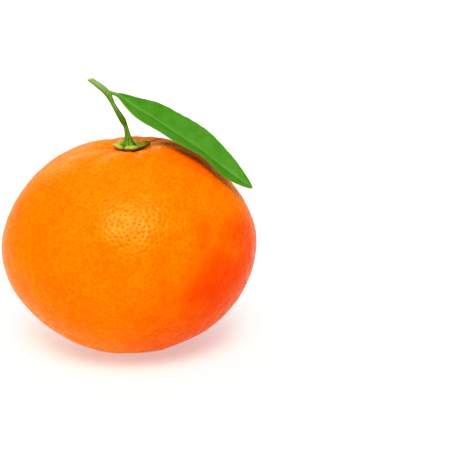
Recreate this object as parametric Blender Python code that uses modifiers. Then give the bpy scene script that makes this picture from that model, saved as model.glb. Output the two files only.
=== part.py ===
"""A ripe mandarin as picked, with its calyx, a piece of twig and one leaf.

It rests on its blossom end. Metres, +Z up; the origin is on the surface, under the middle
of the fruit. The leaf reaches towards +X and the cut end of the twig towards -X.
"""
import math

import bmesh
import bpy
from mathutils import Vector

MM = 0.001
GAP = 0.3 * MM
WELD_DISTANCE = 0.002 * MM
CREASE_ANGLE = math.radians(50)
UP = Vector((0.0, 0.0, 1.0))

# Fruit: a flattened ball, 63 mm across
FRUIT_RADIUS = 31.5 * MM
FRUIT_HALF_HEIGHT = 27.1 * MM
FRUIT_CENTRE_Z = 26.3 * MM
FULLNESS = 1.91
SKIN_POINTS = 4800
GOLDEN_ANGLE = math.pi * (3 - math.sqrt(5))

# Unevenness of the round outline: (waves round the fruit, share of the radius, turn)
UNEVENNESS = ((2, 0.004, 0.6), (3, 0.004, 1.9), (5, 0.003, 0.4))

# Hollow round the stalk, its rim that stands higher towards +X, and its furrows
CROWN_X = 1.0 * MM
HOLLOW_DEPTH = 3.2 * MM
HOLLOW_RADIUS = 6.4 * MM
RIM_SLOPE = 0.07
RIM_RADIUS = 16.0 * MM
FURROW_COUNT = 9
FURROW_DEPTH = 0.4 * MM
FURROW_START = 3.5 * MM
FURROW_DEEPEST = 8.0 * MM
FURROW_END = 20.0 * MM
FURROW_SPREAD = 0.5

# Oil glands, drawn larger than life: points of the skin that are pressed in
GLAND_DEPTH = 0.22 * MM
GLAND_CLEAR_OF_CROWN = 6.5 * MM
GLAND_CLEAR_OF_FLOOR = 0.8 * MM

# Hollow at the blossom end, inside the flat ring that the fruit rests on
STYLAR_DEPTH = 0.9 * MM
STYLAR_RADIUS = 3.6 * MM

# Calyx: (direction in degrees from +X, reach) of each of its five lobes
LOBES = ((-70, 4.3 * MM), (0, 5.1 * MM), (62, 4.3 * MM), (128, 4.1 * MM), (-160, 3.9 * MM))
LOBE_INNER_RADIUS = 2.7 * MM
LOBE_HALF_ANGLE = math.radians(39)
LOBE_BLUNTNESS = 0.75
CALYX_THICKNESS = 0.7 * MM
CALYX_LIFT = 0.3 * MM
CALYX_LIFT_START = 2.0 * MM
CALYX_LIFT_END = 4.3 * MM
CALYX_HOLE_RADIUS = 1.35 * MM
CALYX_SEGMENTS = 60
CALYX_RINGS = 12
CALYX_EDGE_SHARPNESS = 8

# Stalk: x, y, z and radius in mm along its middle line
STALK_X = 0.4 * MM
PEG_ROUTE = ((0.4, 0.0, 48.4, 1.02), (0.4, 0.0, 51.55, 1.02))
STALK_ROUTE = (
    (0.4, 0.0, 51.73, 1.66), (0.38, 0.0, 52.5, 1.12), (0.26, 0.0, 53.4, 0.82),
    (0.1, 0.0, 54.45, 0.64), (-0.1, 0.0, 55.5, 0.54), (-0.42, 0.05, 56.6, 0.55),
    (-0.95, 0.18, 57.7, 0.71), (-1.55, 0.3, 58.75, 0.68), (-2.17, 0.45, 59.75, 0.58),
    (-2.80, 0.62, 60.8, 0.52), (-3.38, 0.8, 61.85, 0.51), (-3.9, 0.95, 62.95, 0.62),
    (-4.55, 1.06, 64.05, 0.82), (-5.45, 1.14, 64.92, 0.73), (-6.55, 1.22, 65.8, 0.64),
    (-7.65, 1.36, 66.6, 0.58), (-8.75, 1.5, 67.4, 0.55),
)
STALK_STEPS = 2 * (len(STALK_ROUTE) - 1)
STALK_SIDES = 20
RIB_COUNT = 5
RIB_HEIGHT = 0.09
SOCKET_RADIUS = 1.4 * MM
SOCKET_FLOOR_Z = 48.1 * MM
HOLE_TOP_Z = 54.0 * MM
HOLE_SIDES = 32

# Leaf stalk: a stub on the twig, up to the joint where the blade starts
PETIOLE_ROUTE = (
    (-4.50, 1.08, 63.9, 0.40), (-3.35, 1.02, 64.42, 0.42),
    (-2.60, 1.0, 64.37, 0.44), (-2.0, 1.0, 64.06, 0.50),
)
PETIOLE_STEPS = 8
ROUND_TUBE_RESOLUTION = 3

# Leaf: its midrib in mm, and how many degrees each half rises, at even steps to the tip
MIDRIB_ROUTE = (
    (-1.72, 1.0, 63.86), (2.3, 1.4, 60.9), (6.4, 1.4, 58.1), (10.5, 0.8, 55.4), (14.6, -0.3, 52.7),
    (18.6, -1.6, 50.0), (22.6, -2.7, 47.2), (26.5, -3.6, 44.4), (30.6, -4.2, 41.8),
)
NEAR_RISE = (-24.0, -8.0, 4.0, 8.0, 8.0, -5.0, -12.0)
FAR_RISE = (28.0, 29.0, 27.0, 28.0, 30.0, 38.0, 44.0)
LEAF_HALF_WIDTH = 6.4 * MM
LEAF_WIDEST_SHIFT = 0.9
LEAF_ROUNDNESS = 0.72
LEAF_BASE_HALF_WIDTH = 0.5 * MM
LEAF_TIP_HALF_WIDTH = 0.35 * MM
LEAF_ARCH = 0.07
LEAF_TEETH = 15
LEAF_TOOTH = 0.16 * MM
LEAF_THICKNESS = 0.65 * MM
LEAF_COLUMNS = 46
LEAF_ROWS = 10
SLOPE_STEP = 0.01
MIDRIB_BASE_RADIUS = 0.50 * MM
MIDRIB_TIP_RADIUS = 0.22 * MM
MIDRIB_DROP = 0.25 * MM
MIDRIB_END = 0.94
MIDRIB_STEPS = 20

# Finishes: colour and roughness
PEEL = ((0.95, 0.27, 0.01), 0.38)
CALYX_GREEN = ((0.42, 0.50, 0.07), 0.55)
STALK_GREEN = ((0.16, 0.32, 0.05), 0.50)
LEAF_GREEN = ((0.07, 0.27, 0.02), 0.42)


def smooth_step(value, low, high):
    """Rise from 0 at low to 1 at high, with level ends."""
    share = min(1.0, max(0.0, (value - low) / (high - low)))
    return share * share * (3 - 2 * share)


def spline_value(stations, share):
    """Read the smooth curve through evenly spaced stations, at a share of the way along."""
    place = min(max(share, 0.0), 1.0) * (len(stations) - 1)
    first = min(int(place), len(stations) - 2)
    step = place - first
    start = stations[first]
    end = stations[first + 1]
    before = stations[first - 1] if first > 0 else start * 2 - end
    after = stations[first + 2] if first + 2 < len(stations) else end * 2 - start
    slope = end - before
    bend = before * 2 - start * 5 + end * 4 - after
    twist = start * 3 - before - end * 3 + after
    return start + (slope * step + bend * step ** 2 + twist * step ** 3) * 0.5


def make_material(name, finish):
    """A Principled material of one colour and roughness."""
    colour, roughness = finish
    material = bpy.data.materials.new(name)
    material.use_nodes = True
    shader = material.node_tree.nodes["Principled BSDF"]
    shader.inputs["Base Color"].default_value = (*colour, 1.0)
    shader.inputs["Roughness"].default_value = roughness
    shader.inputs["Metallic"].default_value = 0.0
    material.diffuse_color = (*colour, 1.0)
    return material


def add_object(name, data, collection):
    """Link an object that holds this mesh or curve."""
    added = bpy.data.objects.new(name, data)
    collection.objects.link(added)
    return added


def add_mesh(name, shape, collection):
    """Turn a bmesh into an object, with its faces looking out."""
    bmesh.ops.recalc_face_normals(shape, faces=shape.faces)
    mesh = bpy.data.meshes.new(name)
    shape.to_mesh(mesh)
    shape.free()
    return add_object(name, mesh, collection)


def as_guide(guide):
    """Mark an object that only shapes others, and isn't part of the fruit."""
    guide.hide_render = True
    guide.display_type = "WIRE"
    return guide


def combine(body, tool, operation):
    """Apply one exact Boolean to the body, and remove its tool."""
    modifier = body.modifiers.new("combine", "BOOLEAN")
    modifier.operation = operation
    modifier.solver = "EXACT"
    modifier.object = tool
    evaluated = body.evaluated_get(bpy.context.evaluated_depsgraph_get())
    result = bpy.data.meshes.new_from_object(evaluated)
    body.modifiers.clear()
    body.data = result
    bpy.data.objects.remove(tool)


def finish_object(body, material):
    """Shade the object smooth and give it its one material."""
    body.data.materials.clear()
    body.data.materials.append(material)
    body.data.shade_smooth()
    body.data.set_sharp_from_angle(angle=CREASE_ANGLE)


def bore_for_stalk(body, radius, guides):
    """Cut the upright round hole that the stalk's peg stands in."""
    shape = bmesh.new()
    depth = HOLE_TOP_Z - SOCKET_FLOOR_Z
    bmesh.ops.create_cone(
        shape, cap_ends=True, segments=HOLE_SIDES, radius1=radius, radius2=radius, depth=depth
    )
    bmesh.ops.translate(shape, verts=shape.verts, vec=(STALK_X, 0.0, SOCKET_FLOOR_Z + depth / 2))
    combine(body, as_guide(add_mesh("bore", shape, guides)), "DIFFERENCE")


def crown_relief(x, y):
    """How far the hollow and its furrows lower the top of the peel at one place."""
    reach = math.hypot(x - CROWN_X, y)
    turn = math.atan2(y, x - CROWN_X)
    hollow = HOLLOW_DEPTH * math.exp(-(reach / HOLLOW_RADIUS) ** 2)
    furrowed = smooth_step(reach, FURROW_START, FURROW_DEEPEST)
    furrowed *= 1 - smooth_step(reach, FURROW_DEEPEST, FURROW_END)
    groove = 0.5 + 0.5 * math.cos(FURROW_COUNT * turn + FURROW_SPREAD * math.sin(2 * turn))
    rim = RIM_SLOPE * (x - CROWN_X) * math.exp(-(reach / RIM_RADIUS) ** 2)
    return hollow + FURROW_DEPTH * furrowed * groove ** 3 - rim


def peel_top(x, y):
    """Height of the peel above the surface, near the stalk."""
    share = math.hypot(x, y) / FRUIT_RADIUS
    height = FRUIT_HALF_HEIGHT * (1 - share ** FULLNESS) ** (1 / FULLNESS)
    return FRUIT_CENTRE_Z + height - crown_relief(x, y)


def peel_point(direction, pressed_in):
    """Place one direction from the fruit's middle on its skin."""
    across = math.hypot(direction.x, direction.y)
    turn = math.atan2(direction.y, direction.x)
    full = (across ** FULLNESS + abs(direction.z) ** FULLNESS) ** (-1 / FULLNESS)
    uneven = sum(share * math.cos(waves * turn + phase) for waves, share, phase in UNEVENNESS)
    spread = FRUIT_RADIUS * full * (1 + uneven * across)
    point = Vector((direction.x * spread, direction.y * spread,
                    FRUIT_CENTRE_Z + FRUIT_HALF_HEIGHT * full * direction.z))
    reach = math.hypot(point.x, point.y)
    if direction.z > 0:
        point.z -= crown_relief(point.x, point.y)
    crown_clear = direction.z < 0 or reach > GLAND_CLEAR_OF_CROWN
    if pressed_in and crown_clear and point.z > GLAND_CLEAR_OF_FLOOR:
        outward = Vector((direction.x / FRUIT_RADIUS, direction.y / FRUIT_RADIUS,
                          direction.z / FRUIT_HALF_HEIGHT)).normalized()
        point -= outward * GLAND_DEPTH
    point.z = max(point.z, 0.0)
    if direction.z < 0 and reach < STYLAR_RADIUS:
        point.z += STYLAR_DEPTH * (1 - (reach / STYLAR_RADIUS) ** 2) ** 2
    return point


def build_fruit(collection, guides):
    """Skin a ball of evenly spread points, shape it, and bore the stalk's socket.

    A point is a gland if none of its neighbours is one already.
    """
    shape = bmesh.new()
    for index in range(SKIN_POINTS):
        height = 1 - 2 * (index + 0.5) / SKIN_POINTS
        across = math.sqrt(1 - height * height)
        turn = index * GOLDEN_ANGLE
        shape.verts.new((across * math.cos(turn), across * math.sin(turn), height))
    bmesh.ops.convex_hull(shape, input=shape.verts)
    glands = set()
    for vertex in shape.verts:
        if not any(edge.other_vert(vertex) in glands for edge in vertex.link_edges):
            glands.add(vertex)
    for vertex in shape.verts:
        vertex.co = peel_point(vertex.co.copy(), vertex in glands)
    fruit = add_mesh("fruit", shape, collection)
    bore_for_stalk(fruit, SOCKET_RADIUS, guides)
    return fruit


def lobe_reach(turn):
    """How far the calyx reaches in one direction."""
    reach = LOBE_INNER_RADIUS
    for degrees, length in LOBES:
        away = abs(math.remainder(turn - math.radians(degrees), math.tau))
        if away < LOBE_HALF_ANGLE:
            swell = math.cos(away / LOBE_HALF_ANGLE * math.pi / 2) ** LOBE_BLUNTNESS
            reach = max(reach, LOBE_INNER_RADIUS + (length - LOBE_INNER_RADIUS) * swell)
    return reach


def build_calyx(collection, guides):
    """A five-lobed disc that follows the hollow of the peel, its lobes lifted a little."""
    shape = bmesh.new()
    bmesh.ops.create_uvsphere(shape, u_segments=CALYX_SEGMENTS, v_segments=CALYX_RINGS, radius=1.0)
    for vertex in shape.verts:
        share = min(1.0, math.hypot(vertex.co.x, vertex.co.y))
        turn = math.atan2(vertex.co.y, vertex.co.x)
        reach = share * lobe_reach(turn)
        x = STALK_X + reach * math.cos(turn)
        y = reach * math.sin(turn)
        half = CALYX_THICKNESS / 2
        lift = CALYX_LIFT * smooth_step(reach, CALYX_LIFT_START, CALYX_LIFT_END)
        middle = peel_top(x, y) + GAP + half + lift
        rounded = half * math.sqrt(1 - share ** CALYX_EDGE_SHARPNESS)
        vertex.co = (x, y, middle + math.copysign(rounded, vertex.co.z))
    calyx = add_mesh("calyx", shape, collection)
    bore_for_stalk(calyx, CALYX_HOLE_RADIUS, guides)
    return calyx


def tube(name, points, profile, collection):
    """A closed tube through (x, y, z, radius) points, round or with a ribbed profile."""
    curve = bpy.data.curves.new(name, "CURVE")
    curve.dimensions = "3D"
    curve.use_fill_caps = True
    if profile is None:
        curve.bevel_depth = 1.0
        curve.bevel_resolution = ROUND_TUBE_RESOLUTION
    else:
        curve.bevel_mode = "OBJECT"
        curve.bevel_object = profile
    line = curve.splines.new("POLY")
    line.points.add(len(points) - 1)
    for target, point in zip(line.points, points):
        target.co = (point[0], point[1], point[2], 1.0)
        target.radius = point[3]
    source = add_object(name + "_curve", curve, collection)
    evaluated = source.evaluated_get(bpy.context.evaluated_depsgraph_get())
    shape = bmesh.new()
    shape.from_mesh(bpy.data.meshes.new_from_object(evaluated))
    bmesh.ops.remove_doubles(shape, verts=shape.verts, dist=WELD_DISTANCE)
    bpy.data.objects.remove(source)
    return add_mesh(name, shape, collection)


def ribbed_profile(guides):
    """The stalk's cross-section, of radius 1, with low ribs."""
    curve = bpy.data.curves.new("rib_profile", "CURVE")
    curve.dimensions = "2D"
    line = curve.splines.new("POLY")
    line.points.add(STALK_SIDES - 1)
    line.use_cyclic_u = True
    for index, target in enumerate(line.points):
        turn = math.tau * index / STALK_SIDES
        reach = 1 + RIB_HEIGHT * math.cos(RIB_COUNT * turn)
        target.co = (reach * math.cos(turn), reach * math.sin(turn), 0.0, 1.0)
    return as_guide(add_object("rib_profile", curve, guides))


def smooth_route(route, steps):
    """Points of a route given in mm, evenly read from the smooth curve through it."""
    stations = [Vector(station) * MM for station in route]
    return [spline_value(stations, index / steps) for index in range(steps + 1)]


def build_stalk(collection, guides):
    """Peg, flared foot, ribbed stalk with its node, fork, twig and leaf stalk, in one piece."""
    profile = ribbed_profile(guides)
    points = [Vector(station) * MM for station in PEG_ROUTE]
    points += smooth_route(STALK_ROUTE, STALK_STEPS)
    stalk = tube("stalk", points, profile, collection)
    petiole = tube("petiole", smooth_route(PETIOLE_ROUTE, PETIOLE_STEPS), None, guides)
    combine(stalk, petiole, "UNION")
    bpy.data.objects.remove(profile)
    return stalk


def leaf_frame(share):
    """Point on the midrib, and the directions along it, across it and off the blade."""
    stations = [Vector(station) * MM for station in MIDRIB_ROUTE]
    ahead = spline_value(stations, share + SLOPE_STEP)
    along = (ahead - spline_value(stations, share - SLOPE_STEP)).normalized()
    across = UP.cross(along).normalized()
    return spline_value(stations, share), along, across, along.cross(across)


def leaf_half_width(share):
    """Half the width of the blade, with its low teeth, at a share of its length."""
    swell = math.sin(math.pi * share ** LEAF_WIDEST_SHIFT) if 0 < share < 1 else 0.0
    width = LEAF_HALF_WIDTH * max(swell, 0.0) ** LEAF_ROUNDNESS
    width += LEAF_TOOTH * swell * math.sin(math.tau * LEAF_TEETH * share)
    least = LEAF_BASE_HALF_WIDTH if share < 0.5 else LEAF_TIP_HALF_WIDTH
    return max(width, least)


def blade_point(share, side):
    """Place a point of the blade: share of the length, and side from -1 (near) to 1 (far)."""
    root, _along, across, off_blade = leaf_frame(share)
    rise = math.radians(spline_value(NEAR_RISE if side < 0 else FAR_RISE, share))
    reach = leaf_half_width(share) * abs(side)
    outward = across * math.copysign(math.cos(rise), side) + off_blade * math.sin(rise)
    return root + outward * reach - off_blade * (LEAF_ARCH * reach * abs(side))


def build_leaf(collection):
    """An arched blade folded along its midrib, which stands out below."""
    shape = bmesh.new()
    bmesh.ops.create_grid(shape, x_segments=LEAF_COLUMNS, y_segments=LEAF_ROWS, size=1.0)
    bmesh.ops.triangulate(shape, faces=shape.faces)
    for vertex in shape.verts:
        vertex.co = blade_point((vertex.co.x + 1) / 2, vertex.co.y)
    leaf = add_mesh("leaf", shape, collection)
    thicken = leaf.modifiers.new("thicken", "SOLIDIFY")
    thicken.thickness = LEAF_THICKNESS
    thicken.offset = 0.0
    rib = []
    for index in range(MIDRIB_STEPS + 1):
        share = MIDRIB_END * index / MIDRIB_STEPS
        root, _along, _across, off_blade = leaf_frame(share)
        radius = MIDRIB_BASE_RADIUS + (MIDRIB_TIP_RADIUS - MIDRIB_BASE_RADIUS) * share
        rib.append(Vector((*(root - off_blade * MIDRIB_DROP), radius)))
    combine(leaf, tube("midrib", rib, None, collection), "UNION")
    return leaf


def main():
    """Empty the scene and build the mandarin's four pieces."""
    for old in list(bpy.data.objects):
        bpy.data.objects.remove(old)
    pieces = bpy.data.collections.new("mandarin")
    guides = bpy.data.collections.new("guides")
    bpy.context.scene.collection.children.link(pieces)
    bpy.context.scene.collection.children.link(guides)
    finish_object(build_fruit(pieces, guides), make_material("peel", PEEL))
    finish_object(build_calyx(pieces, guides), make_material("calyx_green", CALYX_GREEN))
    finish_object(build_stalk(pieces, guides), make_material("stalk_green", STALK_GREEN))
    finish_object(build_leaf(pieces), make_material("leaf_green", LEAF_GREEN))


main()
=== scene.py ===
"""The looks of a ripe mandarin with its calyx, its twig and one leaf.

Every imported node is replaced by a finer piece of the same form, with the same sizes or
sizes close to them. Metres, +Z up; the leaf reaches towards +X and the twig's cut end
towards -X.
"""

import math

import bmesh
import bpy
import numpy as np
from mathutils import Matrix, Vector, noise
from mathutils.geometry import delaunay_2d_cdt
from mathutils.kdtree import KDTree


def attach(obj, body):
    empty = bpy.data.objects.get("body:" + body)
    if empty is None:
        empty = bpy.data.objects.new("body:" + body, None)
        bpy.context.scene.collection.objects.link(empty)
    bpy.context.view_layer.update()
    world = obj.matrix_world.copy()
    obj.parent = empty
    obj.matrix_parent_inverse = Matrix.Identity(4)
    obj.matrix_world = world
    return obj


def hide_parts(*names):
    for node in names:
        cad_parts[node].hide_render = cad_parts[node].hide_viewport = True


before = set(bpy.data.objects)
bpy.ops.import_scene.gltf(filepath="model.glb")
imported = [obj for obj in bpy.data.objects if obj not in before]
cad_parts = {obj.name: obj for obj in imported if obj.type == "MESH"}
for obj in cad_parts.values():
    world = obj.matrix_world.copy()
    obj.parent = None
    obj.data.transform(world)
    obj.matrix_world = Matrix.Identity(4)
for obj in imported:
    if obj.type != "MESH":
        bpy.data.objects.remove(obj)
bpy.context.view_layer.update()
MM = 0.001
TAU = math.tau
RANDOM = np.random.default_rng(7)

# Fruit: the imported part's form, with furrows a little shallower.
# Its unevenness is waves round it, their share of its width, and phase.
FRUIT_RADIUS = 31.5 * MM
FRUIT_HALF_HEIGHT = 27.1 * MM
FRUIT_CENTRE_Z = 26.3 * MM
FULLNESS = 1.91
UNEVENNESS = ((2, 0.004, 0.6), (3, 0.004, 1.9), (5, 0.003, 0.4))
CROWN_X = 1.0 * MM
HOLLOW_DEPTH = 3.2 * MM
HOLLOW_RADIUS = 6.4 * MM
RIM_SLOPE = 0.07
RIM_RADIUS = 16.0 * MM
FURROW_COUNT = 9
FURROW_DEPTH = 0.33 * MM
FURROW_START = 3.5 * MM
FURROW_DEEPEST = 8.0 * MM
FURROW_END = 20.0 * MM
FURROW_SPREAD = 0.5
STYLAR_DEPTH = 0.9 * MM
STYLAR_RADIUS = 3.6 * MM
SOCKET_RADIUS = 1.4 * MM
SOCKET_FLOOR_Z = 48.1 * MM

# How the outline seen from the front strays from the round form: waves round it, mm, phase.
# It fades out towards the crown and towards the ground.
VIEW_TILT = math.radians(17.5)
OUTLINE_WAVES = ((1, 0.06, -0.3), (2, 0.05, 2.1), (5, 0.13, 2.0), (6, 0.14, -0.9))
OUTLINE_FADE_REACH = (3.0 * MM, 12.0 * MM)
OUTLINE_FADE_HEIGHT = (1.0 * MM, 8.0 * MM)

# The low shoulder behind the calyx: its middle, how far it spreads and its height
REAR_PLACE = (2.2 * MM, 12.0 * MM)
REAR_REACH = (3.6 * MM, 5.0 * MM)
REAR_RISE = 0.36 * MM

# Oil glands: each is a pit with a middle point, a ring on its slope and a ring on its rim.
# A ring has its number of points, its place from middle to rim, its depth and its darkness.
GLAND_COUNT = 6700
GLAND_JITTER = 0.8
GLAND_REACH = 29.5 * MM
GLAND_SPACING = 1.38 * MM
GLAND_ROUNDS = 5
GLAND_NEIGHBOURS = 6
GLAND_PUSH = 0.35
GLAND_SIZE_DRAW = (1.6, 1.3)
GLAND_RADII = (0.24 * MM, 0.44 * MM)
GLAND_ROOM = 0.36
GLAND_DEPTH_SHARE = 0.30
SLOPE_RING = (5, 0.5, 0.55, 0.62)
RIM_RING = (6, 1.0, 0.0, 0.06)
LAND_RISE = 0.014 * MM
JOIN_DISTANCE = 1e-9

# Wrinkles round the calyx: waves round it, mm, phase, all twisted outwards
WRINKLES = ((13, 0.045, 1.3), (21, 0.04, 0.4), (34, 0.03, 2.2))
WRINKLE_TWIST = 0.09 / MM
WRINKLE_START = 3.0 * MM
WRINKLE_FULL = 5.0 * MM
WRINKLE_END = 14.0 * MM
# Scale of the wrinkle height kept for the painted shade in the grooves
WRINKLE_SHADE = 8

# Gentle swells: height and size. Swells and glands are weaker near the calyx and the ground.
SWELLS = ((0.16 * MM, 7.0 * MM), (0.055 * MM, 2.4 * MM), (0.028 * MM, 1.0 * MM))
QUIET_REACH = (3.0 * MM, 9.0 * MM)
QUIET_HEIGHT = (0.1 * MM, 1.5 * MM)
QUIET_SHARE = 0.4
CROWN_TINT_RADIUS = 9.0 * MM
SCAR_TINT_RADIUS = 1.1 * MM

# Calyx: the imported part's star with softer, fuller lobes, given by their turn and length
STALK_X = 0.4 * MM
LOBES = ((-74, 5.6 * MM), (0, 5.3 * MM), (66, 4.1 * MM), (132, 4.0 * MM), (-158, 4.0 * MM))
LOBE_INNER_RADIUS = 2.3 * MM
LOBE_HALF_ANGLE = math.radians(39)
LOBE_BLUNTNESS = 0.82
CALYX_THICKNESS = 1.0 * MM
CALYX_GAP = 0.08 * MM
CALYX_LIFT = 0.3 * MM
CALYX_LIFT_START = 2.0 * MM
CALYX_LIFT_END = 4.3 * MM
CALYX_HOLE_RADIUS = 1.2 * MM
CALYX_EDGE_SHARPNESS = 5
CALYX_TURNS = 260
CALYX_STEPS = 40
CALYX_STEP_BIAS = 0.8

# Unevenness of its edge: waves round it, mm, phase, and then noise by height and size
CALYX_EDGE_WAVES = ((9, 0.08, 0.7), (14, 0.04, 2.0))
CALYX_EDGE_NOISE = (0.10 * MM, 0.22)

# Relief on its upper side
COLLAR_RISE = 0.22 * MM
COLLAR_REACH = 1.5 * MM
COLLAR_WIDTH = 0.5 * MM
DOME_RISE = 0.36 * MM
DOME_FULL = 0.7
DOME_BIAS = 1.6
CREASE_DEPTH = 0.20 * MM
CREASE_WIDTH = 0.2
CREASE_FADE = (0.2, 0.7)
LOBE_VEIN_RISE = 0.07 * MM
LOBE_VEIN_WIDTH = 0.10
RIDGE_RISE = 0.035 * MM
RIDGE_COUNT = 31
RIDGE_SWAY = (2, 5)
CALYX_GRAINS = ((0.045 * MM, 0.45 * MM), (0.12 * MM, 1.4 * MM))
CALYX_GRAIN_END = 0.97
FOOT_SHADE_REACH = 1.6 * MM
FOOT_SHADE_WIDTH = 0.62 * MM

# Stalk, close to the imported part's, with its lengths in mm: x, y, z and radius along its
# middle line, then its cut end, its fork and the grain at which its pieces are fused
PEG_ROUTE = ((0.4, 0.0, 48.4, 1.02), (0.4, 0.0, 51.3, 1.02))
STALK_ROUTE = (
    (0.4, 0.0, 51.45, 1.72), (0.38, 0.0, 52.5, 1.12), (0.26, 0.0, 53.4, 0.82),
    (0.1, 0.0, 54.45, 0.64), (-0.1, 0.0, 55.5, 0.54), (-0.42, 0.05, 56.6, 0.55),
    (-0.95, 0.18, 57.7, 0.71), (-1.55, 0.3, 58.75, 0.68), (-2.17, 0.45, 59.75, 0.58),
    (-2.80, 0.62, 60.8, 0.52), (-3.38, 0.8, 61.85, 0.51), (-3.9, 0.95, 62.95, 0.62),
    (-4.55, 1.06, 64.15, 0.76), (-5.45, 1.14, 65.16, 0.75), (-6.55, 1.22, 66.03, 0.70),
    (-7.65, 1.36, 66.82, 0.64), (-8.75, 1.5, 67.62, 0.60), (-9.85, 1.64, 68.42, 0.60),
)
PETIOLE_ROUTE = (
    (-5.0, 1.1, 64.5, 0.62), (-4.2, 1.06, 64.4, 0.58), (-3.3, 1.02, 64.22, 0.45),
    (-2.5, 1.0, 64.0, 0.44), (-1.7, 1.0, 63.27, 0.36), (-0.9, 1.05, 62.5, 0.24),
)
CUT_PLACE = (-8.75, 1.5, 67.66)
CUT_FACING = (-0.26, -0.20, 0.945)
CUT_BAND = 0.09
FORK_PLACE = (-4.2, 1.05, 64.1)
FORK_RADIUS = 1.5
FORK_ROUNDS = 8
FORK_SMOOTHING = 0.5
STALK_SMOOTHING = 0.4
STALK_STEPS = 200
STALK_SIDES = 48
STALK_RIBS = ((5, 0.09, 0.0), (13, 0.03, 0.8))
STALK_VOXEL = 0.065
PETIOLE_STEPS = 40
PETIOLE_SIDES = 32

# Leaf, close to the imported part's: the midrib in mm and the slope of each half in degrees
MIDRIB_ROUTE = (
    (-2.35, 1.0, 64.17), (2.3, 1.4, 60.65), (6.4, 1.4, 58.03), (10.5, 0.8, 55.24),
    (14.6, -0.3, 52.8), (18.6, -1.6, 50.25), (22.6, -2.7, 47.26), (26.5, -3.6, 44.5),
    (30.6, -4.2, 41.78),
)
NEAR_RISE = (-22.0, -13.0, 3.0, 10.0, 15.0, -4.0, -13.0)
FAR_RISE = (28.0, 40.0, 35.0, 33.0, 33.0, 43.0, 48.0)
LEAF_HALF_WIDTH = 6.6 * MM
LEAF_WIDEST_SHIFT = 0.9
LEAF_ROUNDNESS = 0.72
LEAF_LEAST_HALF_WIDTH = 0.06 * MM
LEAF_END = 0.012
LEAF_ARCH = 0.07
LEAF_TEETH = 15
LEAF_TOOTH = 0.045 * MM
TOOTH_SWAY = (1.3, 2.3)
SLOPE_STEP = 0.01
LEAF_THICKNESS = 0.36 * MM
LEAF_EDGE_SHARPNESS = 10
LEAF_THINNEST = 0.02
LEAF_COLUMNS = 250
LEAF_COLUMN_CROWDING = 0.4
LEAF_ROWS = 68
LEAF_ROW_BIAS = 1.15
FOLD_ROUNDS = 6
FOLD_ROWS = 5
LEAF_WAVE = (0.22 * MM, 9.0 * MM)
LEAF_WAVE_FADE = (0.1, 0.8)

# Relief of the leaf: side veins, the quilted blade between them, and the midrib
RELIEF_START = 0.06
RELIEF_END = 0.93
VEIN_COUNT = 11
VEIN_SWEEP = 0.13
VEIN_CURVE = 1.2
VEIN_WIDTH = 0.055
VEIN_FADE = (0.7, 0.95)
VEIN_SINK = 0.012 * MM
VEIN_RISE_BELOW = 0.06 * MM
QUILT_RISE = 0.032 * MM
QUILT_SINK_BELOW = 0.04 * MM
RIB_WIDTHS = (0.42 * MM, 0.16 * MM)
RIB_RISE = 0.06 * MM
RIB_CHANNEL_DEPTH = 0.10 * MM
RIB_CHANNEL_WIDTH = 2.2
RIB_DROPS = (0.52 * MM, 0.22 * MM)
RIB_PAINT_WIDTH = 0.9
MARGIN_WIDTH = 0.45 * MM

# Camera, from the photo's perspective
CAMERA_PLACE = (26.84 * MM, -314.24 * MM, 127.06 * MM)
CAMERA_TILT = math.radians(72.5)
CAMERA_LENS = 100.0

# Lights: name, kind, place, size (metres or an angle), strength and colour
LIGHTS = (
    ("key", "AREA", (0.05, -0.67, 0.84), 0.54, 8.6, (1.0, 0.88, 0.70)),
    ("overhead", "SUN", (-0.12, -0.28, 0.95), math.radians(80), 0.9, (1.0, 1.0, 1.0)),
    ("behind", "AREA", (-0.45, 0.95, 0.62), 0.8, 1.8, (1.0, 0.90, 0.75)),
)
LIGHT_TARGET = (0.0, 0.0, 30.0 * MM)
SURROUND_STRENGTH = 0.56

# Tone of the picture: light in and light out, for all light and for its blue alone, each with
# its place among the curves
TONE_CURVE = (
    (0.03, 0.004), (0.10, 0.045), (0.20, 0.14), (0.35, 0.30), (0.60, 0.60), (0.85, 0.93),
)
TONE_CHANNEL = 3
BLUE_CURVE = (
    (0.012, 0.003), (0.03, 0.010), (0.06, 0.030), (0.10, 0.065), (0.20, 0.17), (0.40, 0.39),
)
BLUE_CHANNEL = 2

# Colours of the peel
PEEL_LIGHT = (0.90, 0.222, 0.008)
PEEL_FLECK = (0.92, 0.262, 0.010)
PEEL_RED_AND_SHADE = (0.76, 0.048, 0.001)
PEEL_CROWN = (0.90, 0.21, 0.010)
PEEL_MOTTLE_TINT = (0.93, 0.45, 0.25)
PEEL_PATCH_TINT = (0.95, 0.55, 0.35)
PEEL_GROOVE_SHADE = (0.82, 0.12, 0.004)
PEEL_PORE = (0.66, 0.115, 0.003)
PEEL_SCAR = (0.24, 0.13, 0.03)
PEEL_GLOSS_TINT = (1.0, 0.90, 0.75, 1.0)

# The peel reddens in this direction, partly as painted shade, by so much a metre, with noise
# scatter
RED_AND_SHADE_DIRECTION = (20.0, -6.0, -13.0)
RED_AND_SHADE_SCATTER = 0.35
RED_AND_SHADE_SCATTER_SIZE = 9.0 * MM

# Ranges: where a colour starts, where it is full, and its shares at both places
RED_AND_SHADE_RANGE = (-0.06, 0.42, 0.0, 1.0)
GROOVE_SHADE_RANGE = (-0.2, -0.8, 0.0, 0.35)
PEEL_CROWN_SHARE = 0.35
PEEL_PORE_SHARE = 0.6

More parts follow.
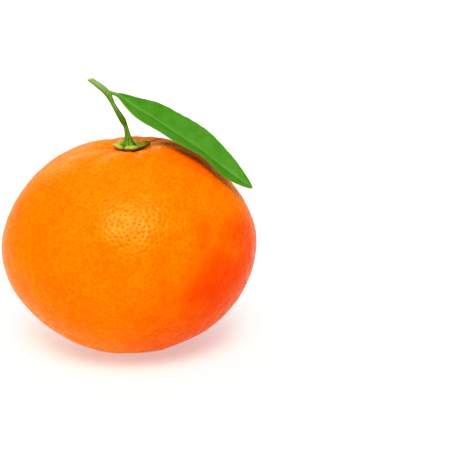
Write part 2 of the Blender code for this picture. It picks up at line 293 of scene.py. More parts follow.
# Patches of noise: size, detail, where in the noise they start and are full, and their share
PEEL_FLECKS = (0.5 * MM, 1.0, 0.45, 0.75, 0.6)
PEEL_MOTTLES = (1.5 * MM, 3.0, 0.34, 0.66, 0.28)
PEEL_PATCHES = (6.0 * MM, 2.0, 0.36, 0.64, 0.19)
LEAF_CLOUDS = (3.0 * MM, 3.0, 0.3, 0.7, 1.0)
LEAF_SPECKLES = (0.45 * MM, 2.0, 0.35, 0.65, 0.35)

# Uneven roughness: size and detail of its noise, and its least and most
PEEL_ROUGHNESS = (2.0 * MM, 2.0, 0.30, 0.42)
LEAF_ROUGHNESS = (1.5 * MM, 2.0, 0.36, 0.48)

# Even roughness, and the peel's gloss
CALYX_ROUGHNESS = 0.55
STALK_ROUGHNESS = 0.48
PEEL_GLOSS = 0.5

# Fine relief in the shading: size, depth and strength
PEEL_GRAIN = (0.16 * MM, 0.02 * MM, 0.35)
CALYX_GRAIN = (0.14 * MM, 0.02 * MM, 0.5)
LEAF_CELLS = (0.5 * MM, 0.03 * MM, 0.3)
STALK_RELIEF = (0.02 * MM, 0.4)

# Light that enters the surface: its share, how far each colour goes, and the scale of that
PEEL_DEPTH = (0.35, (1.0, 0.25, 0.05), 2.2 * MM)
CALYX_DEPTH = (0.1, (0.6, 1.0, 0.2), 0.4 * MM)
LEAF_DEPTH = (0.1, (0.3, 1.0, 0.1), 0.3 * MM)

# Colours of the calyx
CALYX_LIGHT = (0.42, 0.50, 0.12)
CALYX_GREEN = (0.27, 0.40, 0.09)
CALYX_RIM_SHADE = (0.15, 0.22, 0.035)
CALYX_SIDE_SHADE = (0.13, 0.21, 0.025)
CALYX_BROWNED_AND_SHADE = (0.17, 0.10, 0.015)
CALYX_LIT_SIDE = (0.39, 0.46, 0.13)
CALYX_CREASE_SHADE = (0.10, 0.17, 0.02)
CALYX_FOOT = (0.05, 0.12, 0.012)

# Size of its light and green patches, and ranges: painted shade at its rims, painted shade
# out along +X with a browned tip, painted light along -X, and painted shade towards its creases
CALYX_PATCH_SIZE = 0.9 * MM
RIM_SHADE_RANGE = (0.94, 1.0, 0.0, 0.7)
CALYX_SHADE_RANGE = (1.4 * MM, 3.4 * MM, 0.0, 0.75)
BROWNED_AND_SHADE_RANGE = (2.8 * MM, 5.2 * MM, 0.0, 0.65)
LIT_SIDE_RANGE = (1.2 * MM, -1.0 * MM, 0.0, 0.6)
CREASE_SHADE_RANGE = (0.25, 0.0, 0.0, 0.7)

# Colours of the stalk
STALK_GREEN = (0.075, 0.205, 0.042)
STALK_STREAK = (0.155, 0.32, 0.080)
STALK_NODE = (0.050, 0.125, 0.016)
STALK_SIDE_SHADE = (0.036, 0.105, 0.010)
STALK_TWIG = (0.19, 0.34, 0.13)
STALK_CUT = (0.26, 0.43, 0.13)

# Ranges on the stalk: streaks, the node by height, painted shade on one side, and the twig by
# height
STREAK_SIZE = 0.22 * MM
STREAK_STRETCH = (1.0, 1.0, 0.12)
STREAK_RANGE = (0.35, 0.65, 0.0, 1.0)
NODE_START_RANGE = (55.5 * MM, 57.2 * MM, 0.0, 1.0)
NODE_END_RANGE = (61.5 * MM, 59.0 * MM, 0.0, 0.6)
SIDE_SHADE_RANGE = (63.5 * MM, 61.0 * MM, 0.15, 0.7)
SIDEWAYS_RANGE = (0.1, 0.9, 0.0, 1.0)
TWIG_RANGE = (62.5 * MM, 67.5 * MM, 0.0, 0.85)

# Colours of the leaf
LEAF_DARK = (0.054, 0.210, 0.034)
LEAF_GREEN = (0.074, 0.252, 0.048)
LEAF_SPECKLE = (0.105, 0.275, 0.075)
LEAF_VEIN = (0.11, 0.30, 0.060)
LEAF_RIB = (0.16, 0.35, 0.12)
LEAF_UNDER = (0.17, 0.34, 0.07)
LEAF_UNDER_PALE = (0.22, 0.40, 0.10)
LEAF_UNDER_RIB = (0.32, 0.48, 0.14)
LEAF_MARGIN = (0.17, 0.30, 0.045)
LEAF_UNDER_PATCH_SIZE = 2.0 * MM

# Shares of a colour where the leaf's veins, midrib and margin are strongest
LEAF_VEIN_SHARE = 0.18
LEAF_RIB_SHARE = 0.75
LEAF_UNDER_RIB_SHARE = 0.8
LEAF_MARGIN_SHARE = 0.5

# Shared by the materials
REFRACTION = 1.45
SOFT_DETAIL = 2.0
ROUGHNESS_SPAN = (0.3, 0.7)
WHITE = (1.0, 1.0, 1.0, 1.0)

# A Mix node's sockets for its two colours and for what they make
MIX_COLOURS = (6, 7)
MIX_RESULT = 2

# Floor: its own light keeps it nearly white in the part's contact shadow
FLOOR_SIZE = 5.0
FLOOR_COLOUR = (0.55, 0.55, 0.55, 1.0)
FLOOR_GLOW = 0.42
FLOOR_ROUGHNESS = 0.8
FLOOR_GLOSS = 0.1


def smooth_step(value, low, high):
    """Rise from 0 at low to 1 at high, with level ends."""
    share = np.clip((value - low) / (high - low), 0.0, 1.0)
    return share * share * (3 - 2 * share)


def spline_value(stations, share):
    """Read the smooth curve through evenly spaced stations, at shares of the way along."""
    stations = np.asarray(stations, float)
    if stations.ndim == 1:
        stations = stations[:, None]
    share = np.atleast_1d(share)
    place = np.clip(share, 0.0, 1.0) * (len(stations) - 1)
    first = np.minimum(place.astype(int), len(stations) - 2)
    step = (place - first)[:, None]
    start = stations[first]
    end = stations[first + 1]
    before = np.where((first > 0)[:, None], stations[np.maximum(first - 1, 0)], start * 2 - end)
    last = (first + 2 < len(stations))[:, None]
    after = np.where(last, stations[np.minimum(first + 2, len(stations) - 1)], end * 2 - start)
    slope = end - before
    bend = before * 2 - start * 5 + end * 4 - after
    twist = start * 3 - before - end * 3 + after
    return start + (slope * step + bend * step ** 2 + twist * step ** 3) * 0.5


def unit(vectors):
    """Scale each row to length 1."""
    return vectors / np.linalg.norm(vectors, axis=-1, keepdims=True)


def swell_noise(points, size):
    """Smooth noise between -1 and 1 at each point, with features of about this size."""
    return np.array([noise.noise(Vector(point)) for point in (points / size).tolist()])


def link_object(name, data):
    """A new object in the scene that shows this data."""
    made = bpy.data.objects.new(name, data)
    bpy.context.scene.collection.objects.link(made)
    return made


def store_value(mesh, label, numbers):
    """Keep one number per point on a mesh, under a name that its material reads."""
    layer = mesh.attributes.new(label, "FLOAT", "POINT")
    layer.data.foreach_set("value", np.asarray(numbers, np.float32))


def make_piece(name, points, faces, values=None):
    """A smooth mesh object, with one number per point for each named value."""
    mesh = bpy.data.meshes.new(name)
    mesh.from_pydata(points.tolist(), [], faces)
    for label, numbers in (values or {}).items():
        store_value(mesh, label, numbers)
    mesh.shade_smooth()
    return link_object(name, mesh)


def loop_faces(rings, sides, closed):
    """Four-sided faces between rings of points; closed joins the last ring to the first."""
    faces = []
    for ring in range(rings if closed else rings - 1):
        here = ring * sides
        ahead = (ring + 1) % rings * sides
        for side in range(sides):
            beside = (side + 1) % sides
            faces.append((here + side, here + beside, ahead + beside, ahead + side))
    return faces


def dress(piece, material, node):
    """Give a piece its material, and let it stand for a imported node."""
    piece.data.materials.append(material)
    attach(piece, "root")
    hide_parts(node)


def crown_relief(x, y):
    """How far the hollow and its furrows lower the top of the peel."""
    reach = np.hypot(x - CROWN_X, y)
    turn = np.arctan2(y, x - CROWN_X)
    hollow = HOLLOW_DEPTH * np.exp(-(reach / HOLLOW_RADIUS) ** 2)
    furrowed = smooth_step(reach, FURROW_START, FURROW_DEEPEST)
    furrowed = furrowed * (1 - smooth_step(reach, FURROW_DEEPEST, FURROW_END))
    groove = 0.5 + 0.5 * np.cos(FURROW_COUNT * turn + FURROW_SPREAD * np.sin(2 * turn))
    rim = RIM_SLOPE * (x - CROWN_X) * np.exp(-(reach / RIM_RADIUS) ** 2)
    return hollow + FURROW_DEPTH * furrowed * groove ** 3 - rim


def peel_top(x, y):
    """Height of the peel above the surface, near the stalk."""
    share = np.hypot(x, y) / FRUIT_RADIUS
    height = FRUIT_HALF_HEIGHT * (1 - share ** FULLNESS) ** (1 / FULLNESS)
    return FRUIT_CENTRE_Z + height - crown_relief(x, y)


def even_directions(count):
    """Directions spread evenly over a ball along a spiral."""
    index = np.arange(count) + 0.5
    height = 1 - 2 * index / count
    across = np.sqrt(1 - height ** 2)
    turn = index * math.pi * (3 - math.sqrt(5))
    return np.stack((across * np.cos(turn), across * np.sin(turn), height), axis=1)


def tangents(directions):
    """Two directions square to each given one."""
    helper = np.where(np.abs(directions[:, 2:]) < 0.9, (0.0, 0.0, 1.0), (1.0, 0.0, 0.0))
    first = unit(np.cross(directions, helper))
    return first, np.cross(directions, first)


def neighbours(directions, count):
    """The indices of the nearest directions to each, and how far away they are."""
    tree = KDTree(len(directions))
    for index, direction in enumerate(directions.tolist()):
        tree.insert(direction, index)
    tree.balance()
    found = [tree.find_n(direction, count + 1)[1:] for direction in directions.tolist()]
    index = np.array([[entry[1] for entry in row] for row in found])
    distance = np.array([[entry[2] for entry in row] for row in found])
    return index, distance


def gland_directions():
    """Scatter the glands by a seeded draw, then push crowded ones apart."""
    spacing = GLAND_SPACING / GLAND_REACH
    directions = even_directions(GLAND_COUNT)
    first, second = tangents(directions)
    shift = RANDOM.uniform(-GLAND_JITTER, GLAND_JITTER, (GLAND_COUNT, 2)) * spacing
    directions = unit(directions + first * shift[:, :1] + second * shift[:, 1:])
    for _round in range(GLAND_ROUNDS):
        index, distance = neighbours(directions, GLAND_NEIGHBOURS)
        apart = (directions[:, None] - directions[index]) / distance[..., None]
        push = np.clip(spacing - distance, 0.0, None)[..., None] * GLAND_PUSH
        directions = unit(directions + (apart * push).sum(axis=1))
    return directions


def ball_faces(directions):
    """Triangles that join directions into a ball, all but its lowest few."""
    flat = directions[:, :2] / (1 + directions[:, 2:])
    places = [Vector(place) for place in flat.tolist()]
    result = delaunay_2d_cdt(places, [], [], 0, JOIN_DISTANCE)
    return [tuple(face) for face in result[2]]


def outline_stray(points):
    """How far the peel stands out so that its outline from the front is uneven as in nature."""
    upward = points[:, 1] * math.sin(VIEW_TILT)
    upward = upward + (points[:, 2] - FRUIT_CENTRE_Z) * math.cos(VIEW_TILT)
    turn = np.arctan2(upward, points[:, 0])
    share = np.minimum((points[:, 0] ** 2 + upward ** 2) / FRUIT_RADIUS ** 2, 1.0)
    return share * sum(rise * MM * np.cos(waves * turn + phase)
                       for waves, rise, phase in OUTLINE_WAVES)


def skin_points():
    """Directions of the skin's points, how dark the gland makes each, and its depth."""
    glands = gland_directions()
    _index, distance = neighbours(glands, 1)
    size = RANDOM.beta(*GLAND_SIZE_DRAW, GLAND_COUNT)
    radius = GLAND_RADII[0] + (GLAND_RADII[1] - GLAND_RADII[0]) * size
    radius = np.minimum(radius / GLAND_REACH, GLAND_ROOM * distance[:, 0])
    first, second = tangents(glands)
    phase = RANDOM.uniform(0, TAU, GLAND_COUNT)
    depth = radius * GLAND_REACH * GLAND_DEPTH_SHARE
    directions = [glands]
    pore = [np.ones(GLAND_COUNT)]
    sunk = [depth]
    for count, reach, level, darkness in (SLOPE_RING, RIM_RING):
        for step in range(count):
            turn = (phase + TAU * (step + reach / 2) / count)[:, None]
            offset = (first * np.cos(turn) + second * np.sin(turn)) * (radius * reach)[:, None]
            directions.append(unit(glands + offset))
            pore.append(np.full(GLAND_COUNT, darkness))
            sunk.append(depth * level)
    lands = np.array([glands[list(face)].mean(axis=0) for face in ball_faces(glands)])
    directions.append(unit(lands))
    pore.append(np.zeros(len(lands)))
    sunk.append(np.full(len(lands), -LAND_RISE))
    return np.concatenate(directions), np.concatenate(pore), np.concatenate(sunk)


def build_skin():
    """The whole peel: hollow, furrows, wrinkles, glands, stylar scar and flat resting ring."""
    directions, pore, sunk = skin_points()
    across = np.hypot(directions[:, 0], directions[:, 1])
    height = directions[:, 2]
    turn = np.arctan2(directions[:, 1], directions[:, 0])
    full = (across ** FULLNESS + np.abs(height) ** FULLNESS) ** (-1 / FULLNESS)
    uneven = sum(share * np.cos(waves * turn + phase) for waves, share, phase in UNEVENNESS)
    spread = FRUIT_RADIUS * full * (1 + uneven * across)
    points = np.stack((directions[:, 0] * spread, directions[:, 1] * spread,
                       FRUIT_CENTRE_Z + FRUIT_HALF_HEIGHT * full * height), axis=1)
    outward = unit(directions / (FRUIT_RADIUS, FRUIT_RADIUS, FRUIT_HALF_HEIGHT))
    reach = np.hypot(points[:, 0], points[:, 1])
    top = height > 0
    stray = outline_stray(points)
    points[top, 2] -= crown_relief(points[top, 0], points[top, 1])
    crown_reach = np.where(top, np.hypot(points[:, 0] - CROWN_X, points[:, 1]), 1.0)
    crown_turn = np.arctan2(points[:, 1], points[:, 0] - CROWN_X)
    wrinkled = smooth_step(crown_reach, WRINKLE_START, WRINKLE_FULL)
    wrinkled = wrinkled * (1 - smooth_step(crown_reach, WRINKLE_FULL, WRINKLE_END))
    wrinkle = sum(share * np.cos(waves * crown_turn + phase + crown_reach * WRINKLE_TWIST)
                  for waves, share, phase in WRINKLES) * wrinkled
    quiet = smooth_step(crown_reach, *QUIET_REACH) * (1 - QUIET_SHARE) + QUIET_SHARE
    quiet = quiet * smooth_step(points[:, 2], *QUIET_HEIGHT)
    swell = sum(rise * swell_noise(points, size) for rise, size in SWELLS)
    stray = stray * smooth_step(crown_reach, *OUTLINE_FADE_REACH)
    stray = stray * smooth_step(points[:, 2], *OUTLINE_FADE_HEIGHT)
    points += outward * ((swell - sunk) * quiet + wrinkle * MM + stray)[:, None]
    rear_share = ((points[:, 0] - REAR_PLACE[0]) / REAR_REACH[0]) ** 2
    rear_share = rear_share + ((points[:, 1] - REAR_PLACE[1]) / REAR_REACH[1]) ** 2
    points[top, 2] += REAR_RISE * np.exp(-rear_share[top])
    points[:, 2] = np.maximum(points[:, 2], 0.0)
    scar = (height < 0) & (reach < STYLAR_RADIUS)
    points[scar, 2] += STYLAR_DEPTH * (1 - (reach[scar] / STYLAR_RADIUS) ** 2) ** 2
    socket_reach = np.hypot(points[:, 0] - STALK_X, points[:, 1])
    socket = top & (socket_reach < SOCKET_RADIUS)
    points[socket, 2] = SOCKET_FLOOR_Z
    values = {
        "pore": pore * quiet,
        "crown": np.exp(-(crown_reach / CROWN_TINT_RADIUS) ** 2),
        "blossom": np.where(height < 0, np.exp(-(reach / SCAR_TINT_RADIUS) ** 4), 0.0),
        # The wrinkle height also places the painted shade in the grooves
        "wrinkle": wrinkle * WRINKLE_SHADE,
    }
    skin = make_piece("fruit_skin", points, ball_faces(directions), values)
    shape = bmesh.new()
    shape.from_mesh(skin.data)
    rim = [edge for edge in shape.edges if edge.is_boundary]
    filled = bmesh.ops.holes_fill(shape, edges=rim)
    bmesh.ops.triangulate(shape, faces=filled["faces"])
    bmesh.ops.recalc_face_normals(shape, faces=shape.faces)
    shape.to_mesh(skin.data)
    shape.free()
    skin.data.shade_smooth()
    return skin


def lobe_shape(turn):
    """How far the calyx reaches in each direction, and how near that is to a lobe's middle."""
    reach = np.full(turn.shape, LOBE_INNER_RADIUS)
    middle = np.zeros(turn.shape)
    for degrees, length in LOBES:
        away = np.abs(np.remainder(turn - math.radians(degrees) + math.pi, TAU) - math.pi)
        inside = np.clip(1 - away / LOBE_HALF_ANGLE, 0.0, 1.0)
        swell = np.sin(inside * math.pi / 2) ** LOBE_BLUNTNESS
        reach = np.maximum(reach, LOBE_INNER_RADIUS + (length - LOBE_INNER_RADIUS) * swell)
        middle = np.maximum(middle, inside)
    return reach, middle


def build_calyx():
    """A ring-shaped star: a loop from its inner edge out along the top and back below."""
    turn = np.linspace(0, TAU, CALYX_TURNS, endpoint=False)[:, None]
    steps = np.linspace(0, 1, CALYX_STEPS) ** CALYX_STEP_BIAS
    share = np.concatenate((steps, steps[-2:0:-1]))[None, :]
    upper = np.concatenate((np.ones(CALYX_STEPS), -np.ones(CALYX_STEPS - 2)))[None, :]
    limit, middle = lobe_shape(turn)
    limit = limit + sum(rise * MM * np.cos(waves * turn + phase)
                        for waves, rise, phase in CALYX_EDGE_WAVES)
    ring = np.concatenate((np.cos(turn), np.sin(turn), 0 * turn), axis=1)
    edge_rise, edge_size = CALYX_EDGE_NOISE
    limit = limit + edge_rise * swell_noise(ring, edge_size)[:, None]
    reach = CALYX_HOLE_RADIUS + (limit - CALYX_HOLE_RADIUS) * share
    x = STALK_X + reach * np.cos(turn)
    y = reach * np.sin(turn)
    half = CALYX_THICKNESS / 2 * np.sqrt(np.clip(1 - share ** CALYX_EDGE_SHARPNESS, 0.0, 1.0))
    lift = CALYX_LIFT * smooth_step(reach, CALYX_LIFT_START, CALYX_LIFT_END)
    lift = lift * (0.5 + 0.5 * np.cos(2 * turn))
    level = peel_top(x, y) + CALYX_GAP + CALYX_THICKNESS / 2 + lift
    bulge = np.sin(math.pi * share)
    collar = COLLAR_RISE * np.exp(-((reach - COLLAR_REACH) / COLLAR_WIDTH) ** 2)
    dome = DOME_RISE * smooth_step(middle, 0.0, DOME_FULL)
    dome = dome * np.sin(math.pi * share ** DOME_BIAS) ** 2
    crease = CREASE_DEPTH * np.exp(-(middle / CREASE_WIDTH) ** 2)
    crease = crease * smooth_step(share, *CREASE_FADE)
    vein = LOBE_VEIN_RISE * np.exp(-((1 - middle) / LOBE_VEIN_WIDTH) ** 2) * bulge
    sway, sway_waves = RIDGE_SWAY
    ridges = RIDGE_RISE * np.cos(RIDGE_COUNT * turn + sway * np.sin(sway_waves * turn))
    ridges = ridges * bulge ** 2
    relief = np.where(upper > 0, collar + dome - crease + vein + ridges, 0.0)
    points = np.stack((x, y, level + upper * half + relief), axis=-1).reshape(-1, 3)
    outwards = np.broadcast_to(share, reach.shape).ravel()
    grain = sum(swell_noise(points, size) * rise for rise, size in CALYX_GRAINS)
    points[:, 2] += grain * (outwards < CALYX_GRAIN_END)
    values = {
        # edge and middle also place the painted shade at the rims and in the creases
        "edge": outwards,
        "foot": np.exp(-((reach - FOOT_SHADE_REACH) / FOOT_SHADE_WIDTH) ** 2).ravel(),
        "middle": np.broadcast_to(middle, reach.shape).ravel(),
    }
    faces = loop_faces(CALYX_TURNS, share.shape[1], True)
    return make_piece("calyx_star", points, faces, values)


def tube(points, radii, sides, ribs):
    """Points and faces of a closed tube round a middle line, its cross-section ribbed."""
    along = unit(np.gradient(points, axis=0))
    side = unit(np.cross(along, (0.0, 1.0, 0.0)))
    up = np.cross(side, along)
    turn = np.linspace(0, TAU, sides, endpoint=False)
    reach = 1 + sum(height * np.cos(waves * turn + phase) for waves, height, phase in ribs)
    flat = side[:, None] * np.cos(turn)[:, None] + up[:, None] * np.sin(turn)[:, None]
    skin = points[:, None] + flat * (radii[:, None] * reach)[..., None]
    faces = loop_faces(len(points), sides, False)
    faces.append(tuple(range(sides))[::-1])
    faces.append(tuple(range((len(points) - 1) * sides, len(points) * sides)))
    return skin.reshape(-1, 3), faces


def build_stalk():
    """Peg, foot, ribbed stalk, node, fork, twig and leaf stalk, fused at a fine grain in mm."""
    route = spline_value(STALK_ROUTE, np.linspace(0, 1, STALK_STEPS))
    route = np.concatenate((np.array(PEG_ROUTE), route))
    stem, stem_faces = tube(route[:, :3], route[:, 3], STALK_SIDES, STALK_RIBS)
    facing = unit(np.array(CUT_FACING))
    twig = unit(np.array(STALK_ROUTE[-1][:3]) - np.array(STALK_ROUTE[-2][:3]))
    beyond = np.clip((stem - np.array(CUT_PLACE)) @ facing, 0.0, None)
    stem = stem - twig * (beyond / (twig @ facing))[:, None]
    leaf_stalk = spline_value(PETIOLE_ROUTE, np.linspace(0, 1, PETIOLE_STEPS))
    arm, arm_faces = tube(leaf_stalk[:, :3], leaf_stalk[:, 3], PETIOLE_SIDES, ())
    arm_faces = [tuple(index + len(stem) for index in face) for face in arm_faces]
    stalk = make_piece("stalk_stem", np.concatenate((stem, arm)), stem_faces + arm_faces)
    shape = bmesh.new()
    shape.from_mesh(stalk.data)
    bmesh.ops.recalc_face_normals(shape, faces=shape.faces)
    shape.to_mesh(stalk.data)
    shape.free()
    remesh = stalk.modifiers.new("fuse", "REMESH")
    remesh.mode = "VOXEL"
    remesh.voxel_size = STALK_VOXEL
    evaluated = stalk.evaluated_get(bpy.context.evaluated_depsgraph_get())
    shape = bmesh.new()
    shape.from_mesh(bpy.data.meshes.new_from_object(evaluated))
    stalk.modifiers.clear()
    fork = Vector(FORK_PLACE)
    joint = [vertex for vertex in shape.verts if (vertex.co - fork).length < FORK_RADIUS]
    for _round in range(FORK_ROUNDS):
        bmesh.ops.smooth_vert(shape, verts=joint, factor=FORK_SMOOTHING,
                              use_axis_x=True, use_axis_y=True, use_axis_z=True)
    bmesh.ops.smooth_vert(shape, verts=shape.verts, factor=STALK_SMOOTHING,
                          use_axis_x=True, use_axis_y=True, use_axis_z=True)
    places = np.array([vertex.co for vertex in shape.verts])
    cut = 1 - np.abs((places - np.array(CUT_PLACE)) @ facing) / CUT_BAND
    bmesh.ops.scale(shape, verts=shape.verts, vec=(MM, MM, MM))
    shape.to_mesh(stalk.data)
    shape.free()
    store_value(stalk.data, "cut", np.clip(cut, 0.0, None))
    # How far each point faces +X, for the painted shade on that side
    store_value(stalk.data, "sideways", [vertex.normal.x for vertex in stalk.data.vertices])
    stalk.data.shade_smooth()
    return stalk


def leaf_frame(share):
    """Points on the midrib, and the directions along it, across it and off the blade."""
    stations = np.array(MIDRIB_ROUTE) * MM
    ahead = spline_value(stations, share + SLOPE_STEP)
    along = unit(ahead - spline_value(stations, share - SLOPE_STEP))
    across = unit(np.cross((0.0, 0.0, 1.0), along))
    return spline_value(stations, share), across, np.cross(along, across)


def leaf_half_width(share):
    """Half the width of the blade, with its low teeth, along its length."""
    swell = np.clip(np.sin(math.pi * share ** LEAF_WIDEST_SHIFT), 0.0, 1.0)
    width = LEAF_HALF_WIDTH * swell ** LEAF_ROUNDNESS
    sway, sway_waves = TOOTH_SWAY
    tooth = np.sin(TAU * LEAF_TEETH * share + sway * np.sin(TAU * sway_waves * share))
    width = width + LEAF_TOOTH * swell * tooth
    return np.maximum(width, LEAF_LEAST_HALF_WIDTH)


def leaf_middle(share, side, width):
    """Points of the blade's middle layer, each half sloped on its own and softly folded."""
    root, across, off_blade = leaf_frame(share)
    rise = {
        -1: np.radians(spline_value(NEAR_RISE, share)[:, 0]),
        1: np.radians(spline_value(FAR_RISE, share)[:, 0]),
    }
    middle = np.zeros((LEAF_COLUMNS, LEAF_ROWS, 3))
    for row, place in enumerate(side):
        half = -1 if place < 0 else 1
        angle = rise[half][:, None]
        reach = (width * abs(place))[:, None]
        outward = across * (half * np.cos(angle)) + off_blade * np.sin(angle)
        middle[:, row] = root + outward * reach - off_blade * (LEAF_ARCH * reach * abs(place))
    rows = np.arange(LEAF_ROWS // 2 - FOLD_ROWS, LEAF_ROWS // 2 + FOLD_ROWS)
    for _round in range(FOLD_ROUNDS):
        middle[:, rows] = (middle[:, rows - 1] + 2 * middle[:, rows] + middle[:, rows + 1]) / 4
    return middle


def round_blade(grid):
    """Values of the blade's upper face, and then the same on the lower one, back again."""
    grid = np.broadcast_to(grid, (LEAF_COLUMNS, LEAF_ROWS))
    return np.concatenate((grid, grid[:, -2:0:-1]), axis=1).ravel()


def build_leaf():
    """A thin arched blade, folded along its midrib, with veins in low relief on both faces."""
    even = np.linspace(0, 1, LEAF_COLUMNS)
    crowded = 0.5 - 0.5 * np.cos(math.pi * even)
    share = (1 - LEAF_COLUMN_CROWDING) * even + LEAF_COLUMN_CROWDING * crowded
    bent = np.linspace(-1, 1, LEAF_ROWS)
    side = np.sign(bent) * np.abs(bent) ** LEAF_ROW_BIAS
    width = leaf_half_width(share)
    middle = leaf_middle(share, side, width)
    off = unit(np.cross(np.gradient(middle, axis=0), np.gradient(middle, axis=1)))
    span = np.abs(side)[None, :]
    length = share[:, None]
    ends = smooth_step(length, 0.0, RELIEF_START) * (1 - smooth_step(length, RELIEF_END, 1.0))
    half_step = np.where(side < 0, 0.5, 0.0)[None, :]
    phase = (length - VEIN_SWEEP * span ** VEIN_CURVE) * VEIN_COUNT + half_step
    between = np.abs(phase - np.round(phase))
    side_vein = np.exp(-(between / VEIN_WIDTH) ** 2) * (1 - smooth_step(span, *VEIN_FADE)) * ends
    quilt = (0.5 - 0.5 * np.cos(TAU * phase)) * np.sin(math.pi * span) * ends
    distance = span * width[:, None]
    rib_width = RIB_WIDTHS[0] + (RIB_WIDTHS[1] - RIB_WIDTHS[0]) * length
    rib = np.exp(-(distance / rib_width) ** 2)
    channel = np.exp(-(distance / (rib_width * RIB_CHANNEL_WIDTH)) ** 2)
    wave_rise, wave_size = LEAF_WAVE
    wave = swell_noise(middle.reshape(-1, 3), wave_size) * wave_rise
    wave = wave.reshape(LEAF_COLUMNS, LEAF_ROWS) * smooth_step(span, *LEAF_WAVE_FADE) * ends
    to_end = np.clip(np.minimum(length, 1 - length) / LEAF_END, LEAF_THINNEST, 1.0)
    thin = np.sqrt(1 - (1 - to_end) ** 2)
    half = LEAF_THICKNESS / 2 * np.sqrt(1 - span ** LEAF_EDGE_SHARPNESS) * thin
    above = half + QUILT_RISE * quilt - VEIN_SINK * side_vein
    above = above + (RIB_RISE * rib - RIB_CHANNEL_DEPTH * channel) * ends
    rib_drop = RIB_DROPS[0] + (RIB_DROPS[1] - RIB_DROPS[0]) * length
    rib_drop = rib_drop * rib * smooth_step(1 - length, 0.0, RELIEF_START)
    below = half - QUILT_SINK_BELOW * quilt + VEIN_RISE_BELOW * side_vein + rib_drop
    middle = middle + off * wave[..., None]
    upper = middle + off * above[..., None]
    lower = middle - off * below[..., None]
    loop = np.concatenate((upper, lower[:, -2:0:-1]), axis=1)
    sides = loop.shape[1]
    faces = loop_faces(LEAF_COLUMNS, sides, False)
    faces.append(tuple(range(sides))[::-1])
    faces.append(tuple(range((LEAF_COLUMNS - 1) * sides, LEAF_COLUMNS * sides)))
    under = np.concatenate((np.zeros(LEAF_ROWS), np.ones(LEAF_ROWS - 2)))
    inner = width[:, None] - MARGIN_WIDTH
    values = {
        "rib": round_blade(np.exp(-(distance / (rib_width * RIB_PAINT_WIDTH)) ** 2)),
        "vein": round_blade(side_vein),
        "margin": round_blade(smooth_step(distance, inner, width[:, None])),
        "under": np.broadcast_to(under, (LEAF_COLUMNS, sides)).ravel(),
    }
    return make_piece("leaf_blade", loop.reshape(-1, 3), faces, values)


class Paint:
    """A Principled material and short calls to add nodes to it."""

    def __init__(self, name):
        self.material = bpy.data.materials.new(name)
        self.material.use_nodes = True
        self.nodes = self.material.node_tree.nodes
        self.links = self.material.node_tree.links
        self.shader = self.nodes["Principled BSDF"]

    def put(self, target, value):
        """Link an output to a socket, or set the socket's own value."""
        if isinstance(value, bpy.types.NodeSocket):
            self.links.new(value, target)
        else:
            target.default_value = value

    def add(self, kind, settings, inputs):
        """Add a node, with its settings by name and its inputs by name or place."""
        node = self.nodes.new(kind)
        for name, value in settings.items():
            setattr(node, name, value)
        for name, value in inputs.items():
            self.put(node.inputs[name], value)
        return node

    def value(self, name):
        """A number stored on the mesh."""
        return self.add("ShaderNodeAttribute", {"attribute_name": name}, {}).outputs["Fac"]

    def place(self):
        """Coordinates in the object, in metres."""
        return self.add("ShaderNodeTexCoord", {}, {}).outputs["Object"]

    def noise(self, size, detail, place=None):
        """Noise from 0 to 1 with features of this size in metres."""
        inputs = {"Vector": place or self.place(), "Scale": 1 / size, "Detail": detail}
        return self.add("ShaderNodeTexNoise", {}, inputs).outputs["Fac"]

    def math(self, operation, *numbers):
        """Arithmetic on two or three numbers."""
        inputs = dict(enumerate(numbers))
        return self.add("ShaderNodeMath", {"operation": operation}, inputs).outputs[0]

    def axis(self, name, place=None):
        """One of a place's three coordinates, in metres."""
        inputs = {0: place or self.place()}
        return self.add("ShaderNodeSeparateXYZ", {}, inputs).outputs[name]

    def remap(self, value, low, high, start, end):
        """Stretch the range low to high to start to end, smoothly."""
        settings = {"interpolation_type": "SMOOTHSTEP"}
        inputs = {"Value": value, "From Min": low, "From Max": high, "To Min": start, "To Max": end}
        return self.add("ShaderNodeMapRange", settings, inputs).outputs["Result"]

    def mix(self, share, first, second, blend="MIX"):
        """Blend two colours."""
        settings = {"data_type": "RGBA", "blend_type": blend}
        node = self.add("ShaderNodeMix", settings, {"Factor": share})
        for socket, colour in zip(MIX_COLOURS, (first, second)):
            opaque = (*colour, 1.0) if isinstance(colour, tuple) else colour
            self.put(node.inputs[socket], opaque)
        return node.outputs[MIX_RESULT]

    def share(self, name, most):
        """A number stored on the mesh, times the share of a colour that it gives at most."""
        return self.math("MULTIPLY", self.value(name), most)

    def patches(self, size, detail, low, high, most):
        """Soft patches of noise, each up to this share."""
        return self.remap(self.noise(size, detail), low, high, 0.0, most)

    def roughness(self, size, detail, least, most):
        """Roughness that varies from place to place."""
        return self.remap(self.noise(size, detail), *ROUGHNESS_SPAN, least, most)

    def bump(self, height, distance, strength):
        """Fine relief of this depth in metres."""
        inputs = {"Height": height, "Distance": distance, "Strength": strength}
        return self.add("ShaderNodeBump", {}, inputs).outputs["Normal"]

    def grain(self, size, distance, strength):
        """Fine relief of grains of this size and depth in metres."""
        return self.bump(self.noise(size, SOFT_DETAIL), distance, strength)

    def let_light_in(self, share, reach, scale):
        """Let a share of the light enter the surface, and spread this far for each colour."""
        self.finish(Subsurface_Weight=share, Subsurface_Radius=reach, Subsurface_Scale=scale)

    def finish(self, **inputs):
        """Set the shader's own inputs, with _ for a space in their names."""
        for name, value in inputs.items():
            self.put(self.shader.inputs[name.replace("_", " ")], value)
        return self.material


